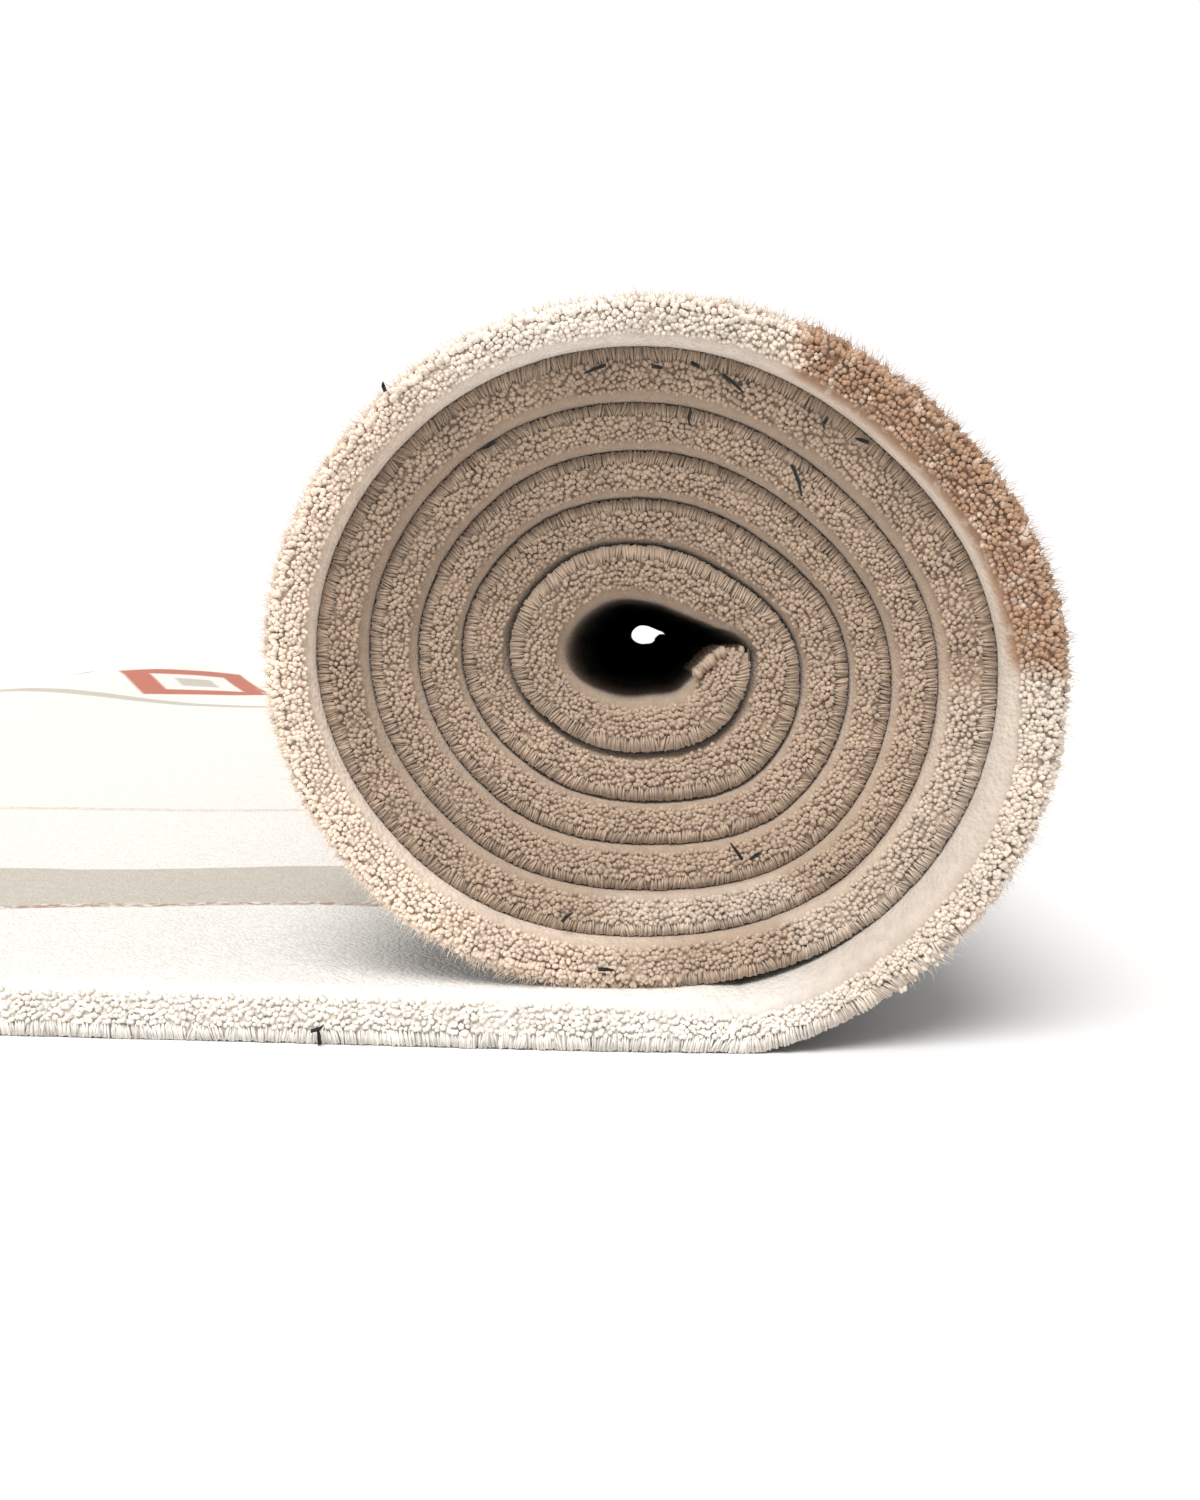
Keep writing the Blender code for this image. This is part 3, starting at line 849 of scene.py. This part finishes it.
def rim_fibres(name, pitch, layers):
    along = rim_places(pitch, layers)
    count = len(along)
    block = block_at(along)
    across = chance.uniform(-0.5, 1.5, count) * MM
    depth = chance.uniform(-0.2, 1.5, count) * MM
    ahead, pile_side = room_directions(along, across)
    lean = (1.5 * BLOCK_LEAN[block] + chance.normal(0, 0.3, count))[:, None]
    up = OUTWARD * chance.uniform(0.0, 0.8, (count, 1)) - pile_side + ahead * lean
    bend = ahead * chance.normal(0, 0.7 * MM, (count, 1))
    height = chance.uniform(1.2, 4.2, count) * MM
    shade = chance.uniform(0.98, 1.12, count)
    return plant(name, HAIR, (along, across, depth), up, height, 0.15 * MM, bend, shade, 0.9, WOOL_YARN)


knob_pieces.append(rim_knobs("rim_knobs", 1.1 * MM, 5))
side_pieces.append(rim_fibres("rim_fibres", 0.5 * MM, 3))

# %% [markdown]
# ## Black thread ends
# Ends of the black thread that sews the yarn to its base stick out here and there along the edge.
# Each is a short bent strand, set one by one: how many turns into the roll, its share of the pile's
# height, its length in mm and the way it points (along, pile side, outward). The last two stand on
# the lead, one upright and one across its top.

# %% Set the black thread ends
THREADS = (
    dict(turns=225 / 360, depth=0.02, length=2.88, aim=(-0.25, -1.0, 0.3)),
    dict(turns=1 + 189 / 360, depth=0.35, length=3.6, aim=(1.0, 0.2, 0.4)),
    dict(turns=1 + 180 / 360, depth=0.40, length=4.8, aim=(-1.0, 0.1, 0.4)),
    dict(turns=1 + 171 / 360, depth=0.30, length=6, aim=(1.0, -0.2, 0.5)),
    dict(turns=1 + 166 / 360, depth=0.34, length=4.8, aim=(-1.0, 0.3, 0.5)),
    dict(turns=1 + 144 / 360, depth=0.22, length=3.6, aim=(0.3, 1.0, 0.5)),
    dict(turns=1 + 135 / 360, depth=0.12, length=4.2, aim=(1.0, 0.4, 0.5)),
    dict(turns=1 + 342 / 360, depth=0.22, length=3, aim=(0.4, 1.0, 0.4)),
    dict(turns=351 / 360, depth=0.42, length=3, aim=(1.0, 0.2, 0.5)),
    dict(turns=2 + 171 / 360, depth=0.08, length=3.6, aim=(0.5, 1.0, 0.4)),
    dict(turns=2 + 144 / 360, depth=0.30, length=5.4, aim=(-1.0, 0.5, 0.5)),
    dict(turns=2 + 216 / 360, depth=0.06, length=3.6, aim=(1.0, 0.3, 0.5)),
    dict(turns=3 + 27 / 360, depth=0.45, length=4.8, aim=(1.0, 0.5, 0.6)),
    dict(turns=3 + 25 / 360, depth=0.50, length=3.6, aim=(-0.3, 1.0, 0.6)),
)
LEAD_THREAD = ROLL_START - 79 * MM
THREAD_OUT = 2.3 * MM       # they start this far in front of the cloth's own edge


def thread_ends():
    along = np.array([wound_to(row["turns"]) for row in THREADS] + [LEAD_THREAD, LEAD_THREAD - 2 * MM])
    share = np.array([row["depth"] for row in THREADS] + [0.02, 0.28])
    length = np.array([row["length"] for row in THREADS] + [4.32, 5.04]) * MM
    aim = np.array([row["aim"] for row in THREADS] + [(0.05, 1.0, 0.2), (1.0, 0.08, 0.1)])
    across = np.full(len(along), -THREAD_OUT)
    ahead, pile_side = room_directions(along, across)
    up = ahead * aim[:, :1] + pile_side * aim[:, 1:2] + OUTWARD * aim[:, 2:]
    bend = chance.normal(0, 1.5 * MM, (len(along), 3))
    spots = (along, across, share * thickness(along))
    return plant("thread_ends", STRAND, spots, up, length, 1.1 * MM, bend, material=BLACK_YARN)


black_threads = thread_ends()

# %% [markdown]
# ## The plain floor, the light and the camera
# A white floor in a white room: rolled on matt paint, with no gloss, so that only soft shadows show on
# it. A broad soft light stands above and in front, a weaker one low on the left, and the camera close
# to the roll's end, level with its middle and turned down a little.

# %% Floor and room
FLOOR_DROP = 0.3 * MM       # keeps the floor clear of the backing
FILL_LIGHT, WALL_WHITE = 0.58, 1.05      # the room's light on things, and how white its walls look
bpy.ops.object.select_all(action="DESELECT")
bpy.ops.mesh.primitive_plane_add(size=30, location=(0, 0, -FLOOR_DROP))
floor = bpy.context.object
floor.name = "floor"
floor.data.materials.append(plain_material("painted_floor", "F4F3F2", 0.8))

world = bpy.data.worlds.new("white_room")
world.use_nodes = True
background = world.node_tree.nodes["Background"]
background.inputs["Color"].default_value = (1.0, 1.0, 1.0, 1.0)
seen = add(world.node_tree, "ShaderNodeLightPath").outputs["Is Camera Ray"]
glow = remap(world.node_tree, seen, 0.0, 1.0, FILL_LIGHT, WALL_WHITE)
world.node_tree.links.new(glow, background.inputs["Strength"])
bpy.context.scene.world = world
bpy.context.scene.view_settings.view_transform = "Standard"
print("room light", FILL_LIGHT, "and floor", floor.name)


# %% Light and camera
def soft_sun(name, tilt_front, tilt_left, strength, softness):
    """A sun tilted from straight above towards the front and the left."""
    bpy.ops.object.light_add(type="SUN", location=(AXIS_X, FRONT_Y, 2.0),
                             rotation=(math.radians(tilt_front), math.radians(-tilt_left), 0))
    sun = bpy.context.object
    sun.name = name
    sun.data.energy = strength
    sun.data.angle = math.radians(softness)


soft_sun("ceiling_light", tilt_front=37, tilt_left=9, strength=2.9, softness=36)
soft_sun("window_light", tilt_front=12, tilt_left=68, strength=0.8, softness=40)

CAMERA_LENS = 39.53
CAMERA_PLACE = (AXIS_X - 0.94 * MM, FRONT_Y - 387 * MM, 100.1 * MM)
CAMERA_DOWN, CAMERA_ROLL, CAMERA_LEFT = math.radians(4.12), math.radians(-0.3), math.radians(1.6)
bpy.ops.object.camera_add(location=CAMERA_PLACE,
                          rotation=(math.radians(90) - CAMERA_DOWN, CAMERA_ROLL, CAMERA_LEFT))
camera = bpy.context.object
camera.data.lens = CAMERA_LENS
camera.data.clip_start = 0.01
bpy.context.scene.camera = camera
print("camera stands", round((FRONT_Y - CAMERA_PLACE[1]) / MM), "mm in front of the rug")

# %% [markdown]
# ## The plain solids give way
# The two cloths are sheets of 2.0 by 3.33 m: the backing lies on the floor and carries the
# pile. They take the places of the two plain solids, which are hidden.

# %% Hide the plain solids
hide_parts("rug_pile")
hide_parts("rug_backing")
